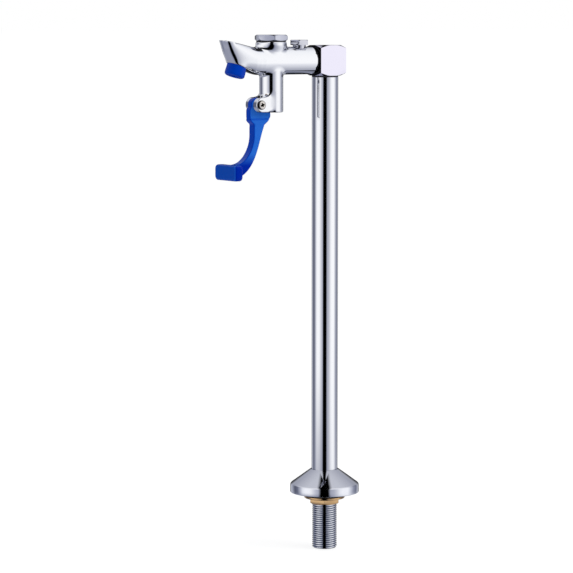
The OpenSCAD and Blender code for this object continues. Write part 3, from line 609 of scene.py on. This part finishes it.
def cast(name, parts, grain, rounds, reach, worked=None):
    """Casts closed meshes into one, on a grid of that grain in metres, and rounds its corners. Outer corners
    are broken, inner ones run out over reach(place) metres in so many rounds. worked(place) gives the share
    of hand grinding, which evens out a form away from its outer corners."""
    broken = 0.0009
    outer_rounds = 24
    kept_clear = 0.003
    solid = parts[0]
    solid.name = solid.data.name = name
    for part in parts[1:]:
        cut(solid, part, "UNION")
    sharp = copy_of(solid)
    corners = list_corners(sharp)
    apply_step(solid, "REMESH", mode="VOXEL", voxel_size=grain, adaptivity=0)
    apply_step(solid, "SHRINKWRAP", target=sharp, wrap_method="NEAREST_SURFACEPOINT")
    for inner in (False, True):
        group = solid.vertex_groups.new(name="easing")
        for vertex in solid.data.vertices:
            spot = vertex.co
            run = 1 - min(1, corners[inner].find(spot)[2] / (reach(spot) if inner else broken))
            if inner and worked:
                run = max(run, worked(spot) * min(1, corners[False].find(spot)[2] / kept_clear))
            group.add([vertex.index], run * run * (3 - 2 * run), "REPLACE")
        apply_step(
            solid, "SMOOTH", factor=0.5, iterations=rounds if inner else outer_rounds, vertex_group="easing")
        solid.vertex_groups.clear()
    bpy.data.objects.remove(sharp)
    return solid


def ring_of(radius, location, turned=(0, 0, 0)):
    """A flat ring of 96 points, one station of a lofted form."""
    bpy.ops.object.select_all(action="DESELECT")
    bpy.ops.mesh.primitive_circle_add(vertices=96, radius=radius * mm)
    return place(bpy.context.object, location, turned)


def bend(a, b, c, d, steps):
    """The points of a curve that runs from a to d and is steered by b and c."""
    points = [Vector(p) for p in (a, b, c, d)]
    curve = []
    for number in range(steps + 1):
        t, s = number / steps, 1 - number / steps
        curve.append(tuple(
            points[0] * s ** 3 + points[1] * 3 * t * s * s + points[2] * 3 * t * t * s + points[3] * t ** 3))
    return curve


valve_f = 54
tube_r = 11.5
barrel_r, barrel_low = 9.95, 324.2
boss_r, boss_top = 13.3, 382.4
tube = turn_piece("tube", [(0, 14.1), (tube_r, 14.1), (tube_r, 73), (0, 73)], [(1, 0.7)], steps=160)
place(tube, (0, 0, head_z), to_the_front)
horn = bend((barrel_r, 367.8), (barrel_r, 373.8), (12.7, 376.8), (boss_r, 379.8), 14)
barrel = turn_piece(
    "barrel", [(0, barrel_low), (barrel_r, barrel_low)] + horn + [(boss_r, boss_top), (0, boss_top)],
    [(1, 0.7), (17, 0.4)], steps=160)
place(barrel, (0, -valve_f, 0))

# The two ears of the clevis: a rounded end, a hollow sweep up to the barrel, and later a slot between them.
pivot_f, pivot_z = 69.6, 330.6
ear_f, ear_r, ear_top = 67.8, 6.1, 336.7
sweep_r = 14
end_turns = [number / 32 * math.pi for number in range(-16, 17)]
end = [(ear_f + ear_r * math.cos(a), pivot_z + ear_r * math.sin(a)) for a in end_turns]
sweep_turns = [number / 32 * math.pi for number in range(1, 15)]
sweep = [(ear_f - sweep_r * math.sin(a), ear_top + sweep_r * (1 - math.cos(a))) for a in sweep_turns]
ears = saw_plate("ears", [(valve_f, 324.5)] + end + sweep + [(valve_f, sweep[-1][1])], 18)
ease_edges(ears, 1.3, 4, 60)

# The beak is stretched over six rings: three rise forward from the tube, and three lead down from the beak's
# tip to its mouth round the nozzle.
nozzle_place, nozzle_lean = (0, -87.8, 362.4), -18
stations = [
    ring_of(tube_r, (0, -72, head_z), to_the_front), ring_of(10.7, (0, -81, 369.1), to_the_front),
    ring_of(9.9, (0, -86.5, 371.4), to_the_front), ring_of(8.0, (0, -95.9, 382.8), (-11.5, 0, 0)),
    ring_of(8.8, (0, -91.6, 373.7)), ring_of(8.9, (0, -87.8, 362.5), (-22, 0, 0))]
bpy.ops.object.select_all(action="DESELECT")
for station in stations:
    station.select_set(True)
bpy.context.view_layer.objects.active = stations[0]
bpy.ops.object.join()
beak = bpy.context.object
bpy.ops.object.mode_set(mode="EDIT")
bpy.ops.mesh.select_all(action="SELECT")
bpy.ops.mesh.convex_hull()
bpy.ops.mesh.select_all(action="SELECT")
bpy.ops.mesh.normals_make_consistent(inside=False)
bpy.ops.object.mode_set(mode="OBJECT")


def head_reach(spot):
    """The boss runs out over 5.2 mm along the tube and over 8 mm at its sides, the barrel over 2.6 mm."""
    return 0.0052 + 0.0028 * min(1, abs(spot.x) / 0.008) if spot.z > head_z * mm else 0.0026


def beak_grinding(spot):
    """The beak is ground by hand from 65.5 mm forward on, above a height of 354 mm."""
    return min(1, max(0, (-spot.y - 0.0655) / 0.006)) * min(1, max(0, (spot.z - 0.354) / 0.003))


head = cast("head_casting", [tube, barrel, ears, beak], 0.0004, 520, head_reach, beak_grinding)
cut(head, saw_plate("slot", [(49.7, 320), (80, 320), (80, 338.2), (49.7, 338.2)], 7.2))

# The bores: valve chamber, regulator, nipple, nozzle stub, pivot, and the two sloping water ways.
regulator_f = 26.2
across_the_head = (0, 90, 0)
valve_bore = [
    (0, 320), (2.1, 320), (2.1, 341.2), (5.5, 341.2), (5.5, 364.5), (nipple_hole, 364.5), (nipple_hole, 367),
    (8, 367), (8, 384), (0, 384)]
regulator_bore = [(0, 360.75), (5.5, 360.75), (5.5, 384), (0, 384)]
nipple_bore = [(0, 14), (nipple_hole, 14), (nipple_hole, 19.1), (4.6, 19.1), (4.6, 37.6), (0, 37.6)]
nozzle_bore = [(0, -5), (8.3, -5), (8.3, 1), (5.3, 1), (5.3, 14), (0, 14)]
pivot_bore = [(0, -18), (2.05, -18), (2.05, 0), (2.55, 0), (2.55, 18), (0, 18)]
way_in = [(0, 0), (3.2, 0), (3.2, 12.0), (0, 12.0)]
way_out = [(0, 0), (2.9, 0), (2.9, 34.6), (0, 34.6)]
for outline, steps, location, turned in (
        (valve_bore, 64, (0, -valve_f, 0), (0, 0, 0)),
        (regulator_bore, 64, (0, -regulator_f, 0), (0, 0, 0)),
        (nipple_bore, 64, (0, 0, head_z), to_the_front),
        (nozzle_bore, 96, nozzle_place, (nozzle_lean, 0, 0)),
        (pivot_bore, 48, (0, -pivot_f, pivot_z), across_the_head),
        (way_in, 48, (0, -35.6, 367.2), (90 - 18.4, 0, 0)),
        (way_out, 48, (0, -valve_f, 357.4), (90 - 26.9, 0, 0))):
    cut(head, place(turn_piece("bore", outline, steps=steps), location, turned))
smooth(head, 40)
head.data.materials.append(chrome_plate("cast_chrome_plate"))
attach(head, "root")
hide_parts("head_body")

# Regulator gland
# A small chromed hexagon, 14.3 mm across its flats, on a short round neck. It seals the stem of the
# quarter-turn regulator, whose slot shows in its top.
gland = turn_hexagon("gland_hexagon", 14.3, 379.6, 383.9, -31, off_top=True, off_bottom=False)
cut(gland, turn_piece("neck", [(0, 373.2), (5.45, 373.2), (5.45, 379.7), (0, 379.7)], steps=64), "UNION")
cut(gland, turn_piece("bore", [
    (0, 373), (4.3, 373), (4.3, 374.6), (3.05, 374.6), (3.05, 383.5), (3.5, 384.5), (0, 384.5)], steps=64))
place(gland, (0, -regulator_f, 0))
smooth(gland, 24)
# Painted shade: the gland's chrome is a greyer copy of the plate, for the duller grey its faces show.
gland.data.materials.append(chrome_plate("gland_chrome", 0.12, "#c3c4cd"))
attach(gland, "root")
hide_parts("regulator_gland")

# Hexagon cap
# A chromed brass cap, 24.7 mm across its flats with both ends turned off, screwed on the boss over its
# gasket. Its spigot is bored for the spring.
cap = turn_hexagon("valve_cap", 24.7, 383.2, 388.2, -19.3, off_top=True, off_bottom=True)
cut(cap, turn_piece("spigot", [(0, 377.5), (7.95, 377.5), (7.95, 383.4), (0, 383.4)], [(1, 0.4)]), "UNION")
cut(cap, turn_piece("bore", [(0, 376), (5.55, 376), (5.55, 386.2), (0, 386.2)], steps=64))
place(cap, (0, -valve_f, 0))
smooth(cap, 24)
# Painted shade: the cap's chrome is a greyer copy of the plate, for the duller grey its faces show.
cap.data.materials.append(chrome_plate("cap_chrome", 0.015, "#bdbfcc"))
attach(cap, "root")
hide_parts("hex_cap")


# Valve stem and spring
# Drawn stainless steel with faint marks: the stem with its collar, and the closing spring of 0.9 mm wire,
# wound in five curls.
def drawn_steel(name):
    material, tree, shader, where = start_finish(name)
    shader.inputs["Base Color"].default_value = linear("#c9cacd")
    shader.inputs["Metallic"].default_value = 1.0
    marks = add_node(tree, "ShaderNodeTexNoise", {"Scale": 1000 / 1.5, "Detail": 3.0}, {"Vector": where})
    roughen(tree, shader, marks.outputs["Fac"], 0.14, 0.3, marks.outputs["Fac"], 0.05, 0.00005)
    return material


stainless = drawn_steel("drawn_stainless")
refinish(("valve_stem",), stainless)

wire_r, coil_r, curls = 0.45, 4.6, 5
spring_low, spring_high = (corner.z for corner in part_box("valve_spring"))
bpy.ops.object.select_all(action="DESELECT")
bpy.ops.mesh.primitive_circle_add(vertices=10, radius=wire_r * mm)
spring = bpy.context.object
spring.name = spring.data.name = "closing_spring"
place(spring, (coil_r, 0, 0), (90, 0, 0))
wind(spring, (spring_high - spring_low - 2 * wire_r * mm) / curls, curls, 32)
place(spring, (0, -valve_f, spring_low / mm + wire_r))
smooth(spring, 50)
spring.data.materials.append(stainless)
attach(spring, "root")
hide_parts("valve_spring")
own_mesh(spring)


# Push lever
# Glossy blue acetal, moulded in one: a knuckle between the ears, a nose under the stem, a round-edged arm
# that sweeps forward, and a thick paddle. Its light and shade are painted into the blue: pale on the arm's
# flat flanks, navy along its rounded edges, a bright line on the paddle's edge, and a darker paddle. The
# chrome doesn't mirror it.
def blue_plastic(name):
    material, tree, shader, where = start_finish(name)
    shader.inputs["IOR"].default_value = 1.48
    shader.inputs["Specular IOR Level"].default_value = 0.15
    shader.inputs["Specular Tint"].default_value = linear("#0a5ae0")
    # Painted light and shade: the blue runs from pale to navy by which way the surface faces, with a bright
    # line on the paddle's rounded edge, and the paddle below 281 mm is shaded darker than the arm.
    normal = tree.nodes["Texture Coordinate"].outputs["Normal"]
    facing = add_node(tree, "ShaderNodeSeparateXYZ", links={0: normal}).outputs["X"]
    facing = add_node(tree, "ShaderNodeMath", {"operation": "ABSOLUTE"}, {0: facing}).outputs[0]
    paddle_painted_light = add_node(tree, "ShaderNodeValToRGB", links={"Fac": facing}, stops=[
        (0, "#0042a6"), (0.35, "#1a5cc4"), (0.6, "#001c92"), (1, "#001a90")]).outputs["Color"]
    arm_painted_light = add_node(tree, "ShaderNodeValToRGB", links={"Fac": facing}, stops=[
        (0, "#003aac"), (0.25, "#0034a4"), (0.5, "#00128a"), (0.78, "#0a46b8"), (0.97, "#1e5cc0"),
        (1, "#2766c4")]).outputs["Color"]
    height = add_node(tree, "ShaderNodeSeparateXYZ", links={0: where}).outputs["Z"]
    on_arm = add_node(tree, "ShaderNodeMapRange", {1: 0.281, 2: 0.290}, {0: height}).outputs[0]
    body = add_node(
        tree, "ShaderNodeMix", {"data_type": "RGBA"}, {0: on_arm, 6: paddle_painted_light, 7: arm_painted_light}).outputs[2]
    clouds = add_node(
        tree, "ShaderNodeTexNoise", {"Scale": 1000 / 14, "Detail": 3.0, "Roughness": 0.55}, {"Vector": where})
    share = add_node(tree, "ShaderNodeMapRange", {3: 0.0, 4: 0.3}, {0: clouds.outputs["Fac"]}).outputs[0]
    tones = {"data_type": "RGBA", 7: linear("#0040a8")}
    colour = add_node(tree, "ShaderNodeMix", tones, {0: share, 6: body})
    tree.links.new(colour.outputs[2], shader.inputs["Base Color"])
    grain = add_node(tree, "ShaderNodeTexNoise", {"Scale": 1000 / 0.7, "Detail": 2.0}, {"Vector": where})
    roughen(tree, shader, clouds.outputs["Fac"], 0.16, 0.27, grain.outputs["Fac"], 0.06, 0.0001)
    return material


# Outlines of the lever are (forward, height) from its pivot.
knuckle = turn_piece(
    "knuckle", [(0, -3.3), (5.9, -3.3), (5.9, 3.3), (0, 3.3)], [(1, 0.5), (2, 0.5)], steps=128)
place(knuckle, (0, -pivot_f, pivot_z), across_the_head)
hub = saw_plate("hub", [
    (-15.6, 2.4), (-15.6, -2.4), (-12.9, -5), (-12.9, -10.2), (-11.4, -12.7), (7.3, -12.7), (7.3, -4),
    (5.6, -1), (0, 2), (-6, 2.38)], 6.6, [(3, 1.0)])
nose = turn_piece("nose", [(0, -3.3), (2.4, -3.3), (2.4, 3.3), (0, 3.3)], [(1, 0.4), (2, 0.4)], steps=64)
place(nose, (0, 15.6, 0), across_the_head)
back = bend((-6.7, -16.6), (-0.5, -29), (0.5, -57), (23.4, -61.0), 16)
front = bend((3.8, -25.4), (3.8, -35), (11, -49.3), (23.4, -49.0), 16)[::-1]
arm_top = [(-11.6, -11.8), (-11.4, -12.7)]
arm_neck = [(3.8, -16.2), (7.3, -12.7), (7.3, -11.8)]
arm = ease_edges(saw_plate("arm", arm_top + back + front + arm_neck, 8.4), 2.6, 6, 50)
for part in (hub, nose, arm):
    place(part, (0, -pivot_f, pivot_z))

paddle_wide, paddle_thick, paddle_high = 33, 7.4, 13
paddle_back, paddle_low = 29.8, -61.8
bpy.ops.object.select_all(action="DESELECT")
bpy.ops.mesh.primitive_cube_add(size=mm)
paddle = bpy.context.object
paddle.scale = (paddle_wide, paddle_thick, paddle_high)
place(paddle)
bpy.ops.object.mode_set(mode="EDIT")
mesh = bmesh.from_edit_mesh(paddle.data)
for edge in mesh.edges:
    edge.select_set(abs(edge.verts[0].co.y - edge.verts[1].co.y) > mm)
bmesh.update_edit_mesh(paddle.data)
bpy.ops.mesh.bevel(offset=3.4 * mm, segments=8, affect="EDGES")
bpy.ops.object.mode_set(mode="OBJECT")
ease_edges(paddle, 1.6, 4, 40)
place(paddle, (0, -pivot_f - paddle_back + paddle_thick / 2, pivot_z + paddle_low + paddle_high / 2))

lever = cast("push_lever", [hub, knuckle, nose, arm, paddle], 0.00034, 50, lambda spot: 0.0028)
pin_hole = turn_piece("bore", [(0, -10), (2.55, -10), (2.55, 10), (0, 10)], steps=64)
cut(lever, place(pin_hole, (0, -pivot_f, pivot_z), across_the_head))
smooth(lever, 45)
lever.data.materials.append(blue_plastic("blue_acetal"))
lever.visible_glossy = False
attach(lever, "push_lever")
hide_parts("lever")

# Pivot screw
# A turned steel screw with a low domed head and a cross recess on the near ear. It is painted near black
# up to its dome, a painted dark reflection on the head's round side, and the dome is light steel. It bears
# the lever and is screwed in the far ear, where its chamfered end shows.
screw = turn_piece("cross_screw", [
    (0, -9), (1.6, -9), (2.0, -8.6), (2.0, -3.6), (2.5, -3.6), (2.5, 9), (3.9, 9), (3.9, 10.2), (3.1, 11.1),
    (0, 11.4)], [(7, 0.5), (8, 0.6)])
for quarter in (0, 90):
    bpy.ops.object.select_all(action="DESELECT")
    bpy.ops.mesh.primitive_cone_add(vertices=4, radius1=0.6 * mm, radius2=3.0 * mm, depth=1.8 * mm)
    tool = place(bpy.context.object, (0, 0, 10.9), (0, 0, 45))
    tool.scale = (1.25, 0.5, 1)
    cut(screw, place(tool, turned=(0, 0, quarter + 20)))
place(screw, (0, -pivot_f, pivot_z), across_the_head)
smooth(screw, 30)
steel_painted_dark = drawn_steel("steel_with_painted_dark")
# Painted dark reflection: near black up to 10.6 mm out, light steel on the dome from 11 mm.
two_tones(steel_painted_dark, "X", 0.0106, 0.0110, "#0d0b0b", "#cdc8c4")
screw.data.materials.append(steel_painted_dark)
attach(screw, "root")
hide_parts("pivot_screw")


# Nozzle tip
# Soft blue silicone, a thick sleeve with a rounded rim, pushed over the brass tube in the beak's mouth so
# that a glass isn't chipped. Moulded and half matt, with faint clouds. The chrome doesn't mirror it.
def blue_silicone(name):
    material, tree, shader, where = start_finish(name)
    shader.inputs["Specular IOR Level"].default_value = 0.28
    shader.inputs["Specular Tint"].default_value = linear("#0a5ae0")
    clouds = add_node(tree, "ShaderNodeTexNoise", {"Scale": 1000 / 6, "Detail": 3.0}, {"Vector": where})
    tones = {"data_type": "RGBA", 6: linear("#00309c"), 7: linear("#003aaa")}
    colour = add_node(tree, "ShaderNodeMix", tones, {0: clouds.outputs["Fac"]})
    tree.links.new(colour.outputs[2], shader.inputs["Base Color"])
    grain = add_node(tree, "ShaderNodeTexNoise", {"Scale": 1000 / 0.5, "Detail": 2.0}, {"Vector": where})
    roughen(tree, shader, clouds.outputs["Fac"], 0.38, 0.52, grain.outputs["Fac"], 0.15, 0.0001)
    return material


tip = turn_piece("soft_tip", [
    (5.3, 1), (8.2, 1), (8.25, -1.5), (8.5, -5), (8.35, -8.7), (3.8, -8.7), (3.8, -6.6), (5.3, -6.6)],
    [(4, 1.9), (5, 0.6), (3, 1.5)], steps=128)
place(tip, nozzle_place, (nozzle_lean, 0, 0))
smooth(tip, 40)
tip.data.materials.append(blue_silicone("blue_silicone"))
tip.visible_glossy = False
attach(tip, "root")
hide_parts("nozzle_tip")
